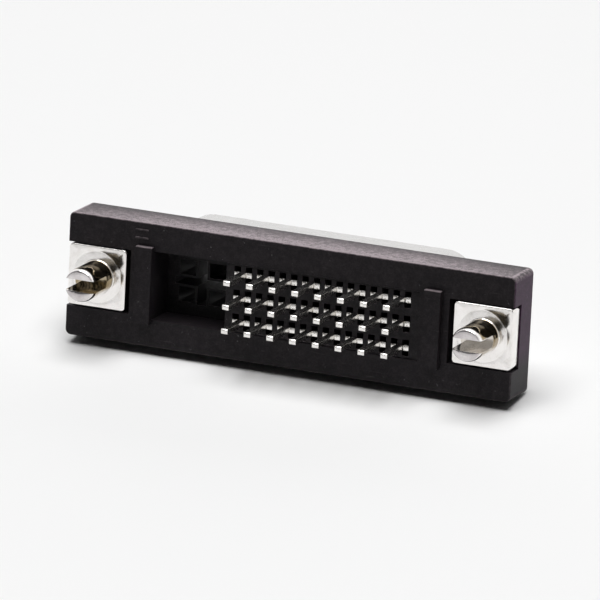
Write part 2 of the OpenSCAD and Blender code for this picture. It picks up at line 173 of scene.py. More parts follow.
class ContactSizes(bpy.types.PropertyGroup):
    sheet: length("Sheet", "Thickness of the contact sheet", 0.42)
    tail_w: length("Tail width", "Width of a solder tail", 0.57)
    tail_l: length("Tail length", "Length of a tail behind the rear face", 3.15)
    tip: length("Tip length", "Length of the coined tip", 0.09)
    tip_t: length("Tip thickness", "Thickness left at the tip's edge", 0.27)
    root_r: length("Root radius", "Fillet between tail and shoulder", 0.16)
    web_y: length("Web set-back", "Distance of the shoulders from the rear face", 0.12)
    web_w: length("Web width", "Width over the shoulders", 1.465)
    web_l: length("Web length", "Length of the solid web", 0.8)
    tine_w: length("Tine width", "Width of a spring tine", 0.42)
    tine_x: length("Tine offset", "Distance of a tine from the middle", 0.47625)
    tine_bend: length("Tine bend", "How far the tines bend inwards", 0.12)
    bend_l: length("Bend length", "Length of a tine's bent part", 1.1)
    end_l: length("End length", "Length of a tine's rounded end", 0.35)
    edge_r: length("Edge rounding", "Rounding of the sheared edges", 0.03)


class ShellSizes(bpy.types.PropertyGroup):
    sheet: length("Sheet", "Thickness of the shell's sheet", 0.35)
    flange_r: length("Flange corner", "Rounding of the flange's corners", 0.6)
    passage_r: length("Passage radius", "Radius of the holes for the barrels", 1.95)
    shroud_l: length("Shroud length", "Outer length of the shroud", 24.405)
    shroud_h: length("Shroud height", "Outer height of the shroud", 8.15)
    shroud_x: length("Shroud offset", "How far the shroud lies to the left", 0.25)
    top_r: length("Upper corners", "Radius of the shroud's upper corners", 2.3)
    low_r: length("Lower corners", "Radius of the shroud's lower corners", 1.0)
    cut_x: length("Cut length", "Length of a lower corner's slanted cut", 1.5)
    cut_z: length("Cut height", "Height of that cut", 3.0)
    root_r: length("Drawn radius", "Radius between flange and shroud", 0.35)
    edge_r: length("Edge rounding", "Rounding of the sheet's edges", 0.06)
    fingers_top: IntProperty(name="Fingers above", description="Spring fingers in the top", default=4)
    fingers_low: IntProperty(name="Fingers below", description="Spring fingers underneath", default=3)
    finger_pitch: length("Finger pitch", "Pitch of the spring fingers", 4.6)
    finger_w: length("Finger width", "Width of a spring finger", 1.3)
    finger_l: length("Finger length", "Length of a spring finger", 1.9)
    finger_cut: length("Finger cut", "Width of the cut round a finger", 0.25)
    finger_dip: length("Finger dip", "How far a finger dips inwards", 0.3)
    finger_root: length("Finger set-back", "Distance of the roots from the rim", 2.15)


class Finishes(bpy.types.PropertyGroup):
    housing: colour("Housing", "Black of the moulded housing", (0.0078, 0.0064, 0.0077))
    # Also the colour of the painted sheen on the housing's top and of painted highlights on its edges and
    # rib tops
    haze_and_sheen: colour("Haze", "Pale violet haze of edges and top", (0.36, 0.305, 0.325))
    # A painted highlight: violet light painted high on the housing's two ends
    end_highlight: colour("Bloom", "Violet bloom high on the housing's ends", (0.42, 0.12, 0.4))
    speck: colour("Speck", "Pale specks in the plastic", (0.2, 0.19, 0.2))
    core: colour("Core", "Black of the insulating core", (0.0076, 0.0068, 0.0077))
    nickel: colour("Nickel", "Plating of the screw locks", (0.93, 0.905, 0.885))
    tin: colour("Tin", "Plating of the contacts", (0.9, 0.88, 0.85))
    shell: colour("Shell", "Plating of the shell", (0.68, 0.67, 0.66))
    # Real tarnish in the metal's marks, and also the brown of a painted reflection on the pins
    tarnish_and_reflection: colour("Tarnish", "Brown tarnish in the metal's marks", (0.3, 0.23, 0.12))
    # A plain grey base colour for the pins' flat ends; their roughness is that of the rest
    pin_end: colour("Pin ends", "Dull grey of the pins' flat ends", (0.42, 0.38, 0.4))
    plastic_gloss: share("Plastic gloss", "Specular level of the black plastic", 0.13)


class StageSettings(bpy.types.PropertyGroup):
    azimuth: angle("Azimuth", "Turn of the camera", 22.56)
    elevation: angle("Elevation", "Height angle of the camera", 14.45)
    roll: angle("Roll", "Roll of the camera", 2.8)
    distance: length("Distance", "Distance of the camera", 643.8)
    lens: FloatProperty(
        name="Lens", description="Focal length for a 36 mm sensor", default=500.1, subtype="DISTANCE_CAMERA"
    )
    aim_right: length("Aim right", "Aim to the right of the rear's middle", 0.942)
    aim_up: length("Aim up", "Aim above the rear's middle", 0.489)
    floor: colour("Floor", "Pale floor", (0.9, 0.9, 0.9))
    floor_w: length("Floor width", "Side of the square floor", 1800.0)
    extra_lean: angle("Extra lean", "Lean of the floor beyond its contact", 1.2)
    world: share("World light", "How much the surroundings light matt surfaces", 0.02)
    card: colour("Card", "Dark card on the camera's side", (0.02, 0.02, 0.02))
    card_w: length("Card width", "Width of the dark card", 3200.0)
    card_h: length("Card height", "Height of the dark card", 1700.0)
    card_distance: length("Card distance", "Distance of the dark card from the part", 1300.0)
    card_rise: length("Card rise", "Height of the dark card's middle", 500.0)


GROUPS = {
    "socket_housing": HousingSizes,
    "socket_lock": LockSizes,
    "socket_contact": ContactSizes,
    "socket_shell": ShellSizes,
    "socket_finish": Finishes,
    "socket_stage": StageSettings,
}

# Mesh helpers


def middle(face):
    """The mean of a face's corners."""
    return face.calc_center_median()


def at_depth(y):
    """A test for the faces at a depth."""
    return lambda f: same(middle(f).y, y)


def add_box(bm, low, high):
    """Adds a block between two corners."""
    low, high = Vector(low), Vector(high)
    place = Matrix.Translation((low + high) / 2) @ Matrix.Diagonal((*(high - low), 1))
    bmesh.ops.create_cube(bm, size=1, matrix=place)


def cut(bm, axis, places, where):
    """Cuts the faces that pass the test by planes across an axis."""
    way = ACROSS[axis]
    for place in places:
        faces = [f for f in bm.faces if where(f)]
        edges = dict.fromkeys(e for f in faces for e in f.edges)
        verts = dict.fromkeys(v for f in faces for v in f.verts)
        bmesh.ops.bisect_plane(
            bm, geom=[*faces, *edges, *verts], dist=1e-5, plane_co=way * place, plane_no=way
        )


def push(bm, faces, way):
    """Pushes a region of faces by a vector, with walls round it."""
    edges = dict.fromkeys(e for f in faces for e in f.edges)
    made = bmesh.ops.extrude_face_region(bm, geom=[*faces, *edges])["geom"]
    bmesh.ops.translate(bm, vec=way, verts=[g for g in made if isinstance(g, bmesh.types.BMVert)])


def open_edges(bm):
    """Edges with a face on one side only."""
    return [e for e in bm.edges if e.is_boundary]


def sharp_edges(bm, degrees, where=lambda e: True, convex=False):
    """Edges that pass the test and whose faces meet at more than an angle in degrees."""
    bm.normal_update()
    return [
        e
        for e in bm.edges
        if len(e.link_faces) == 2
        and e.calc_face_angle() > math.radians(degrees)
        and (e.is_convex or not convex)
        and where(e)
    ]


def block_corner(half_x, half_z):
    """A test for the edges along Y at a block's four corners."""

    def test(e):
        along = not same(e.verts[0].co.y, e.verts[1].co.y)
        return along and all(same(abs(v.co.x), half_x) and same(abs(v.co.z), half_z) for v in e.verts)

    return test


def round_edges(bm, edges, radius, segments):
    """Rounds edges by a radius."""
    bmesh.ops.bevel(
        bm, geom=edges, offset=radius, offset_type="OFFSET", affect="EDGES",
        segments=segments, profile=0.5, material=-1, clamp_overlap=True,
    )


def add_circle(bm, x, y, radius, segments):
    """A ring of edges round the Y direction, at mid height."""
    place = Matrix.Translation((x, y, 0)) @ Matrix.Rotation(math.pi / 2, 4, "X")
    verts = bmesh.ops.create_circle(bm, segments=segments, radius=radius, matrix=place)["verts"]
    return list(dict.fromkeys(e for v in verts for e in v.link_edges))


def merge_flats(bm):
    """Joins the faces that lie in one plane."""
    bmesh.ops.dissolve_limit(bm, angle_limit=math.radians(0.4), verts=bm.verts, edges=bm.edges)


def mark_roundings(mesh, width):
    """Writes a corner attribute for worn edges with a painted highlight: above 0 on faces narrower than a
    width, and most, as painted highlight, where they face up.
    """
    wear_and_highlight = mesh.attributes.new("edge_wear_and_highlight", "FLOAT", "CORNER")
    for face in mesh.polygons:
        corners = [mesh.vertices[i].co for i in face.vertices]
        round_way = sum((a - b).length for a, b in zip(corners, corners[1:] + corners[:1]))
        narrow = face.area / (round_way / 2) < width * MM
        for i in face.loop_indices:
            # Faces that point up get more: a painted highlight over the wear
            wear_and_highlight.data[i].value = narrow * max(0.04, 0.1 + 0.8 * face.normal.z)


def add_object(name, data):
    """Adds an object to the scene."""
    made = bpy.data.objects.new(name, data)
    bpy.context.scene.collection.objects.link(made)
    return made


def make_piece(bm, name, coat, nodes, place=Vector((0, 0, 0)), wear_and_highlight_w=0.14, sharp=38):
    """A finished piece in metres that stands for CAD nodes and rides on the one body."""
    bmesh.ops.remove_doubles(bm, verts=bm.verts, dist=WELD)
    bmesh.ops.recalc_face_normals(bm, faces=bm.faces)
    bmesh.ops.translate(bm, vec=place, verts=bm.verts)
    bmesh.ops.scale(bm, vec=(MM, MM, MM), verts=bm.verts)
    mesh = bpy.data.meshes.new(name)
    bm.to_mesh(mesh)
    bm.free()
    mark_roundings(mesh, wear_and_highlight_w)
    mesh.shade_smooth()
    mesh.set_sharp_from_angle(angle=math.radians(sharp))
    mesh.materials.append(coat)
    piece = add_object(name, mesh)
    weighted = piece.modifiers.new("Weighted normals", "WEIGHTED_NORMAL")
    weighted.keep_sharp = True
    weighted.weight = 95
    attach(piece, "root")
    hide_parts(*nodes)


def datum():
    """Place of the rear face's middle in the frame, in millimetres."""
    low, high = cad_box("housing")
    rib = bpy.context.scene.socket_housing.rib_proud / MM
    return Vector((0, low.y + rib, (low.z + high.z) / 2))


def lock_x():
    """Distance of a screw lock's axis from the middle, in millimetres."""
    low, high = cad_box("right_screw_lock")
    return (low.x + high.x) / 2


# Shader helpers


class Value:
    """A shader socket whose sums are written as Python expressions."""

    def __init__(self, nodes, socket):
        self.nodes = nodes
        self.socket = socket

    def sum(self, operation, *terms):
        """Adds a Math node."""
        return self.nodes.node("ShaderNodeMath", {"operation": operation}, dict(enumerate(terms)))

    def __add__(self, other):
        return self.sum("ADD", self, other)

    def __sub__(self, other):
        return self.sum("SUBTRACT", self, other)

    def __rsub__(self, other):
        return self.sum("SUBTRACT", other, self)

    def __mul__(self, other):
        return self.sum("MULTIPLY", self, other)

    def size(self):
        """The value without its sign."""
        return self.sum("ABSOLUTE", self)

    def root(self):
        """The value's square root."""
        return self.sum("SQRT", self)

    def clipped(self, low, high):
        """0 at low and 1 at high, with a straight ramp between and no change beyond."""
        values = {0: self, 1: low, 2: high, 3: 0.0, 4: 1.0}
        return self.nodes.node("ShaderNodeMapRange", {"clamp": True}, values)

    __radd__ = __add__
    __rmul__ = __mul__


class Nodes:
    """A node tree to which nodes are added with their settings, values and links."""

    def __init__(self, tree):
        self.tree = tree

    def node(self, kind, settings=None, values=None, out=0):
        """Adds a node: its settings first, then its sockets' values and links."""
        made = self.tree.nodes.new(kind)
        for name, value in (settings or {}).items():
            setattr(made, name, value)
        for name, value in (values or {}).items():
            self.feed(made.inputs[name], value)
        return Value(self, made.outputs[out])

    def feed(self, socket, value):
        """Links a socket to a value, or sets it."""
        if isinstance(value, Value):
            self.tree.links.new(value.socket, socket)
        else:
            socket.default_value = value

    def first(self, kind):
        """The tree's first node of a kind."""
        return next(n for n in self.tree.nodes if n.type == kind)


class Paint(Nodes):
    """A material's nodes round one principled shader."""

    # Places of a Mix node's factor and colour sockets
    MIX_FACTOR, MIX_FIRST, MIX_SECOND, MIX_RESULT = 0, 6, 7, 2

    def __init__(self, name):
        self.material = bpy.data.materials.new(name)
        self.material.use_nodes = True
        super().__init__(self.material.node_tree)
        self.shader = self.first("BSDF_PRINCIPLED")
        self.place = self.node("ShaderNodeTexCoord", out="Object")

    def set(self, **sockets):
        """Feeds the principled shader's sockets."""
        for name, value in sockets.items():
            self.feed(self.shader.inputs[name.replace("_", " ").title().replace("Ior", "IOR")], value)

    def axis(self, name):
        """One of the object coordinates, in millimetres."""
        return self.node("ShaderNodeSeparateXYZ", {}, {0: self.place}, out=name) * (1 / MM)

    def noise(self, scale, detail=2.0, roughness=0.5, place=None):
        """Noise between 0 and 1, its scale in waves per millimetre."""
        place = place or self.place
        values = {"Vector": place, "Scale": scale / MM, "Detail": detail, "Roughness": roughness}
        return self.node("ShaderNodeTexNoise", {}, values)

    def stretched(self, x, y, z):
        """Object coordinates scaled by direction, so that a noise on them runs in streaks."""
        return self.node("ShaderNodeMapping", {}, {"Vector": self.place, "Scale": (x, y, z)})

    def mix(self, factor, first, second):
        """Mixes two colours, each a value or its red, green and blue."""
        first, second = [c if isinstance(c, Value) else (*c, 1.0) for c in (first, second)]
        values = {self.MIX_FACTOR: factor, self.MIX_FIRST: first, self.MIX_SECOND: second}
        return self.node("ShaderNodeMix", {"data_type": "RGBA"}, values, self.MIX_RESULT)

    def wear_and_highlight(self):
        """What mark_roundings() wrote: worn edges with a painted highlight."""
        return self.node("ShaderNodeAttribute", {"attribute_name": "edge_wear_and_highlight"}, out="Fac")

    def bump(self, height, strength, distance):
        """Bump whose distance is in millimetres."""
        values = {"Height": height, "Strength": strength, "Distance": distance * MM}
        return self.node("ShaderNodeBump", {}, values)


def black_plastic(name, base, finish, grain, of_housing=False):
    """Glass-filled black moulding: mottled grain, pale specks, faint scuffs and hazy edges, the edges
    partly worn and partly a painted highlight; on the housing also painted highlights on its ends and rib
    tops and a painted sheen on its top.
    """
    paint = Paint(name)
    cloud = paint.noise(0.25, 3.0, 0.6)
    mottle = paint.noise(2.4, 4.0, 0.7)
    fine = paint.noise(9.0, 2.0, 0.7)
    tint = paint.mix(cloud.clipped(0.35, 0.75), base, [1.5 * c for c in base])
    specks = paint.noise(4.2, 1.0, 0.4).clipped(0.70, 0.76) * paint.noise(0.8, 1.0).clipped(0.5, 0.66)
    tint = paint.mix(specks * 0.3, tint, finish.speck)
    scuffs = paint.noise(1.0, 3.0, 0.6, paint.stretched(0.5, 1.0, 7.0)).clipped(0.66, 0.74)
    grey = (fine * 0.5 + mottle * 0.5).clipped(0.44, 0.64)
    # Worn edges with a painted highlight, stronger where the faces point up
    edges = paint.wear_and_highlight() * (0.3 + 0.7 * paint.noise(3.0, 3.0, 0.7).clipped(0.42, 0.6))
    # Real haze from scuffs and grain; painted sheen and highlights are added to it below
    haze_and_sheen = scuffs * 0.05 + grey * 0.035
    if of_housing:
        # Painted violet highlight high on the housing's ends
        tint = paint.mix(end_highlight_mask(paint) * (0.06 + 0.06 * grey), tint, finish.end_highlight)
        # Painted sheen on the housing's top face
        haze_and_sheen = haze_and_sheen + housing_top_sheen(paint) * (0.25 + 1.1 * grey + 0.3 * cloud)
        # Painted highlight on the rib tops
        haze_and_sheen = haze_and_sheen + rib_top_highlight(paint) * (0.2 + 0.8 * mottle)
    paint.set(
        base_color=paint.mix(haze_and_sheen + edges, tint, finish.haze_and_sheen),
        roughness=0.34 + 0.14 * cloud + 0.1 * mottle,
        specular_ior_level=finish.plastic_gloss,
        normal=paint.bump(0.6 * fine + mottle, grain, 0.014),
    )
    return paint.material


def end_highlight_mask(paint):
    """Mask of a painted violet highlight: 1 high on the housing's two ends, and 0 low on them and
    elsewhere.
    """
    end, rear = cad_box("housing")[1].x, datum()
    at_end = paint.axis("X").size().clipped(end - 0.12, end - 0.03)
    return at_end * paint.axis("Z").clipped(rear.z - 2.8, rear.z - 1.2)


def housing_top_sheen(paint):
    """Painted sheen of the housing's top face: more towards its rear edge, and less towards its ends."""
    high, rear = cad_box("housing")[1], datum()
    at_top = paint.axis("Z").clipped(high.z - 0.05, high.z - 0.03)
    rearward = paint.axis("Y").clipped(high.y - 0.3, rear.y + 0.2)
    inward = paint.axis("X").size().clipped(high.x - 0.5, high.x - 8.0)
    return at_top * (0.15 + 0.65 * rearward) * (0.78 + 0.62 * inward)


def rib_top_highlight(paint):
    """Mask of a painted highlight: 1 at the free edge of a rib's upper end, falling to 0 at the rear face
    and below.
    """
    rear = datum()
    rib_z = rear.z + bpy.context.scene.socket_housing.rib_h / MM / 2
    proud = paint.axis("Y").clipped(rear.y - 0.05, rear.y - 0.4)
    return proud * paint.axis("Z").clipped(rib_z - 0.08, rib_z - 0.04)


def plated_metal(name, base, finish, rough):
    """Bright plating with faint clouding, fine scratches and a trace of tarnish."""
    paint = Paint(name)
    cloud = paint.noise(0.9, 3.0, 0.6)
    fine = paint.noise(7.0, 3.0, 0.7, paint.stretched(1.0, 0.35, 1.0))
    stain = paint.noise(1.7, 4.0, 0.65).clipped(0.6, 0.78)
    tint = paint.mix(cloud.clipped(0.3, 0.7) * 0.5, base, [0.86 * c for c in base])
    tint = paint.mix(stain * 0.25, tint, finish.tarnish_and_reflection)
    paint.set(
        base_color=tint,
        metallic=1.0,
        roughness=rough + 0.12 * cloud + 0.08 * stain,
        normal=paint.bump(fine, 0.25, 0.004),
    )
    return paint.material


def turned_metal(name, base, finish, lock, pin_l):
    """Turned metal: faint rings on the heads, faint tarnish smears, a brown painted reflection on the pins,
    and grey pin ends.
    """
    paint = Paint(name)
    rear = datum()
    side = paint.axis("X")
    across = side.size() - lock_x()
    up = paint.axis("Z") - rear.z
    behind = rear.y - paint.axis("Y")
    radius = (across * across + up * up).root()
    rings = paint.node("ShaderNodeCombineXYZ", {}, {0: radius, 1: 0.5, 2: 0.5})
    marks = paint.node(
        "ShaderNodeTexNoise", {}, {"Vector": rings, "Scale": 9.0, "Detail": 3.0, "Roughness": 0.6}
    )
    cloud = paint.noise(0.8, 3.0, 0.6)
    swirl = paint.noise(1.1, 2.0, 0.5)
    # A brown painted reflection is left out inside the right lock's slot
    in_slot = up.size().clipped(lock.slot_w / 2 + 0.06, lock.slot_w / 2 + 0.02)
    slot_without_reflection = in_slot * behind.clipped(lock.slot_root - 0.05, lock.slot_root + 0.02) * side.clipped(-1.0, 1.0)
    # Mask of a brown painted reflection on the pin, left off its lowest side
    pin_reflection = behind.clipped(0.0, 0.12) * behind.clipped(pin_l - 0.2, pin_l - 0.4) * up.clipped(-0.9, -0.6)
    pin_reflection = pin_reflection * (1.0 - 0.8 * slot_without_reflection)
    end = behind.clipped(pin_l - 0.1, pin_l - 0.02)
    smear = paint.noise(1.6, 3.0, 0.6).clipped(0.5, 0.75)
    tint = paint.mix(cloud.clipped(0.3, 0.7) * 0.5, base, [0.88 * c for c in base])
    # Real tarnish in faint smears, and the brown painted reflection on the pin
    tint = paint.mix(smear * 0.12 + pin_reflection * (0.6 + 0.6 * cloud), tint, finish.tarnish_and_reflection)
    paint.set(
        base_color=paint.mix(end * cloud, tint, finish.pin_end),
        metallic=1.0,
        roughness=0.09 + 0.12 * cloud - 0.08 * pin_reflection,
        normal=paint.bump(swirl + 0.12 * marks, 0.6, 0.02),
    )
    return paint.material


def material(name, make, base, *args):
    """The material of that name, made on first use with one of the finish colours as its base."""
    finish = bpy.context.scene.socket_finish
    return bpy.data.materials.get(name) or make(name, getattr(finish, base), finish, *args)


# Pieces


def open_barrel_hole(bm, x, radius, depths, half):
    """A round hole with its wall between two square cells, which lie at two depths."""
    sides = 32
    rims = []
    for y in depths:
        cell = [
            f for f in bm.faces
            if abs(middle(f).y - y) < 0.01 and abs(middle(f).x - x) < half and abs(middle(f).z) < half
        ]
        bmesh.ops.delete(bm, geom=cell, context="FACES")
        bmesh.ops.subdivide_edges(bm, edges=open_edges(bm), cuts=sides // 4 - 1)
        square = open_edges(bm)
        ring = add_circle(bm, x, y, radius, sides)
        bmesh.ops.bridge_loops(bm, edges=square + ring)
        rims += ring
        if y == depths[0]:
            # The first ring is shut meanwhile, so that only the second cell is open
            bmesh.ops.contextual_create(bm, geom=ring)
    lid = [f for f in bm.faces if len(f.verts) == sides and abs(middle(f).x - x) < 0.01]
    bmesh.ops.delete(bm, geom=lid, context="FACES_ONLY")
    bmesh.ops.bridge_loops(bm, edges=rims)


def housing_mesh(s, size):
    """The moulding: a block with window, collar seat, pockets, barrel holes, ribs and dashes."""
    half_l, depth, half_h = size.x / 2, size.y, size.z / 2
    head_w = bpy.context.scene.socket_lock.head_w / MM
    pocket_half = head_w / 2 + s.pocket_gap
    pocket_x = half_l - s.end_wall - head_w - s.head_gap
    rib_out = pocket_x - s.rib_wall
    rib_in = rib_out - s.rib_w
    window_right = rib_in - s.window_step
    seat = [-s.seat_x - s.seat_l / 2, -s.seat_x + s.seat_l / 2]
    cell = s.hole_r + 0.12
    cell_x = [side * lock_x() + way * cell for side in (-1, 1) for way in (-1, 1)]
    rear, front = at_depth(0), at_depth(depth)
    pocket_floor, seat_floor = at_depth(s.pocket_d), at_depth(depth - s.seat_d)
    bm = bmesh.new()

    def end(f):
        return same(abs(middle(f).x), half_l)

    def pick(test, low_x, high_x, half_z, from_middle=True):
        """Faces that pass a test and lie in a block, given by X or by the distance from the middle."""
        return [
            f for f in bm.faces
            if test(f) and abs(middle(f).z) < half_z
            and low_x < (abs(middle(f).x) if from_middle else middle(f).x) < high_x
        ]

    add_box(bm, (-half_l, 0, -half_h), (half_l, depth, half_h))
    cut(bm, "z", [-pocket_half, pocket_half], lambda f: rear(f) or end(f))
    cut(bm, "y", [s.pocket_d], end)
    cut(bm, "x", [-pocket_x, -rib_out, -rib_in, window_right, rib_in, rib_out, pocket_x], rear)
    cut(bm, "z", [-s.rib_h / 2, -s.window_h / 2, s.window_h / 2, s.rib_h / 2], rear)
    cut(bm, "x", [*cell_x, *seat, -rib_in, window_right], front)
    cut(bm, "z", [-s.seat_h / 2, -s.window_h / 2, -cell, cell, s.window_h / 2, s.seat_h / 2], front)

    push(bm, pick(rear, pocket_x, half_l, pocket_half), (0, s.pocket_d, 0))
    shut = [f for f in pick(end, pocket_x, 2 * half_l, pocket_half) if middle(f).y < s.pocket_d]
    bmesh.ops.delete(bm, geom=shut, context="FACES")
    bmesh.ops.remove_doubles(bm, verts=bm.verts, dist=WELD)
    push(bm, pick(rear, rib_in, rib_out, s.rib_h / 2), (0, -s.rib_proud, 0))

    push(bm, pick(front, *seat, s.seat_h / 2, False), (0, -s.seat_d, 0))
    window = pick(lambda f: rear(f) or seat_floor(f), -rib_in, window_right, s.window_h / 2, False)
    bmesh.ops.delete(bm, geom=window, context="FACES")
    bmesh.ops.bridge_loops(bm, edges=open_edges(bm))

    cut(bm, "x", cell_x, pocket_floor)
    cut(bm, "z", [-cell, cell], pocket_floor)
    for side in (-1, 1):
        open_barrel_hole(bm, side * lock_x(), s.hole_r, (s.pocket_d, depth), cell)
    merge_flats(bm)

    def rim(e):
        on_face = all(same(v.co.y, 0) for v in e.verts) or all(same(v.co.y, depth) for v in e.verts)
        return on_face and all(
            abs(v.co.x) > half_l - s.corner_r - NEAR or abs(v.co.z) > half_h - s.corner_r - NEAR
            for v in e.verts
        )

    round_edges(bm, sharp_edges(bm, 60, block_corner(half_l, half_h)), s.corner_r, 6)
    round_edges(bm, sharp_edges(bm, 60, rim), s.rim_r, 5)
    round_edges(bm, sharp_edges(bm, 60, convex=True), s.edge_r, 2)

    # The dashes lie above the left rib, start a little outside it and reach 0.1 into the moulding
    x = -rib_out - 0.2 * s.rib_w
    for rise in (s.dash_low, s.dash_high):
        z = s.rib_h / 2 + rise
        add_box(bm, (x, -s.dash_proud, z - s.dash_w / 2), (x + s.dash_l, 0.1, z + s.dash_w / 2))
    return bm


def quarter(steps):
    """Angles from 0 to a right angle in equal steps."""
    return [math.pi / 2 * k / steps for k in range(steps + 1)]


def fillet(x, y, radius, steps):
    """Points of a hollow quarter round that leaves a line at x and ends on a line at y."""
    return [(x + radius * (1 - math.cos(a)), y - radius * (1 - math.sin(a))) for a in quarter(steps)]


def lock_profile(s, pin_l, mouth_y):
    """Radius and depth of the turned shape, from the pin's end round to the bottom of the hole."""
    ring_half, thread_end, run_out, cone = 0.06, 0.1, 0.3, 0.4
    points = [(0, -pin_l)]
    points += [
        (s.pin_end_r + (s.pin_r - s.pin_end_r) * math.cos(a), -pin_l + s.pin_nose * (1 - math.sin(a)))
        for a in reversed(quarter(8))
    ]
    points += [(s.pin_r, -s.slot_root), *fillet(s.pin_r, 0, s.pin_fillet, 8)]
    points += [(s.ring_r - ring_half, 0), (s.ring_r, s.ring_d), (s.ring_r + ring_half, 0)]
    points += [(s.head_w / 2, 0), (s.head_w / 2, s.head_t), (s.barrel_r, s.head_t)]
    flange_y = mouth_y - s.rim_t
    points += [(s.barrel_r, flange_y), (s.rim_r, flange_y), (s.rim_r, mouth_y)]
    groove_r = s.thread_r + s.thread_d
    y = mouth_y - s.mouth
    bottom = mouth_y - s.hole_d
    points += [(groove_r + 2 * s.mouth, mouth_y), (groove_r, y)]
    while y - s.thread_pitch > bottom + run_out:
        points += [
            (s.thread_r, y - 0.42 * s.thread_pitch),
            (s.thread_r, y - 0.58 * s.thread_pitch),
            (groove_r, y - s.thread_pitch),
        ]
        y -= s.thread_pitch
    points += [(s.thread_r, y - thread_end), (s.thread_r, bottom), (0, bottom - cone)]
    return points


def lock_mesh(s, pin_l, mouth_y):
    """One turned piece: slotted pin, square head, barrel, rolled rim and threaded hole."""
    bm = bmesh.new()
    row = [bm.verts.new((r, y, 0)) for r, y in lock_profile(s, pin_l, mouth_y)]
    line = [bm.edges.new(pair) for pair in zip(row, row[1:])]
    bmesh.ops.spin(
        bm, geom=row + line, cent=(0, 0, 0), axis=(0, 1, 0), angle=math.tau, steps=64, use_merge=True
    )
    bmesh.ops.remove_doubles(bm, verts=bm.verts, dist=WELD)
    half = s.head_w / 2
    for v in bm.verts:
        if same(math.hypot(v.co.x, v.co.z), half) and -NEAR < v.co.y < s.head_t + NEAR:
            # The round head's rim is drawn out to a square
            stretch = half / max(abs(v.co.x), abs(v.co.z))
            v.co.x *= stretch
            v.co.z *= stretch

    def slotted(f):
        return middle(f).y < -s.slot_root + NEAR

    cut(bm, "z", [-s.slot_w / 2, s.slot_w / 2], slotted)
    gap = [f for f in bm.faces if slotted(f) and abs(middle(f).z) < s.slot_w / 2]
    bmesh.ops.delete(bm, geom=gap, context="FACES")
    for z in (-s.slot_w / 2, s.slot_w / 2):
        wall = [e for e in open_edges(bm) if all(same(v.co.z, z) for v in e.verts)]
        ends = dict.fromkeys(v for e in wall for v in e.verts if same(v.co.y, -s.slot_root))
        wall.append(bm.edges.new(list(ends)))
        bmesh.ops.contextual_create(bm, geom=wall)
    bmesh.ops.contextual_create(bm, geom=open_edges(bm))
    bmesh.ops.recalc_face_normals(bm, faces=bm.faces)

    def head_rim(e):
        return all(
            (same(v.co.y, 0) or same(v.co.y, s.head_t)) and math.hypot(v.co.x, v.co.z) > s.ring_r + 0.2
            for v in e.verts
        )

    def prong(e):
        return all(v.co.y < -s.slot_root + NEAR for v in e.verts)

    def mouth(e):
        return all(v.co.y > mouth_y - NEAR for v in e.verts)

    round_edges(bm, sharp_edges(bm, 60, block_corner(half, half)), s.head_r, 6)
    round_edges(bm, sharp_edges(bm, 60, head_rim), s.head_edge, 5)
    round_edges(bm, sharp_edges(bm, 50, prong, convex=True), s.slot_edge, 2)
    round_edges(bm, sharp_edges(bm, 60, mouth, convex=True), s.rim_edge, 3)
    return bm


def contact_outline(s, end_y):
    """Right half of the flat contact, from the tail's tip to the fork between the tines."""
    half, inner, outer = s.tail_w / 2, s.tine_x - s.tine_w / 2, s.tine_x + s.tine_w / 2
    bent_in, bent_out = inner - s.tine_bend, outer - s.tine_bend
    tine_y = s.web_y + s.web_l
    bend_y, bump_y = end_y - s.bend_l, end_y - s.end_l
    narrow, slope = 0.05, 0.1
    points = [(half - narrow, -s.tail_l), (half, -s.tail_l + s.tip)]
    points += fillet(half, s.web_y, s.root_r, 5)
    points += [(s.web_w / 2, s.web_y), (s.web_w / 2, tine_y - slope), (outer, tine_y), (outer, bend_y)]
    points += [(bent_out, bump_y), (bent_out, end_y - slope), (bent_out - slope, end_y)]
    points += [(inner, end_y), (bent_in, bump_y), (bent_in, bump_y - s.end_l / 2)]
    points += [(inner, bend_y), (inner, tine_y)]
    return points


def contact_mesh(s, end_y):
    """A stamped contact: solder tail with coined tip, shouldered web and two spring tines."""
    bm = bmesh.new()
    half = contact_outline(s, end_y)
    outline = half + [(-x, y) for x, y in reversed(half)]
    face = bm.faces.new([bm.verts.new((x, y, -s.sheet / 2)) for x, y in outline])
    push(bm, [face], (0, 0, s.sheet))
    cut(bm, "y", [-s.tail_l + s.tip], lambda f: True)
    for v in bm.verts:
        if same(v.co.y, -s.tail_l):
            v.co.z = math.copysign(s.tip_t / 2, v.co.z)
    bmesh.ops.recalc_face_normals(bm, faces=bm.faces)
    round_edges(bm, sharp_edges(bm, 25, lambda e: e.calc_length() > 0.04), s.edge_r, 2)
    return bm


def shroud_loop(s, grow, y):
    """A loop of edges along the D-shaped outline, grown evenly, at a depth of its own."""
    slant = math.atan2(s.cut_x, s.cut_z)
    x, z = s.shroud_l / 2 + grow, s.shroud_h / 2 + grow
    cut_x = s.cut_x + grow * (1 - math.tan((math.pi / 2 - slant) / 2))
    cut_z = s.cut_z + grow * (1 - math.tan(slant / 2))
    right = [
        (x - cut_x, -z, s.low_r + grow, math.pi / 2 - slant),
        (x, -z + cut_z, s.top_r + grow, slant),
        (x, z, s.top_r + grow, math.pi / 2),
    ]
    left = [(-px, pz, r, turn) for px, pz, r, turn in reversed(right)]
    return rounded_loop([(px - s.shroud_x, pz, r, turn) for px, pz, r, turn in right + left], y, 8)


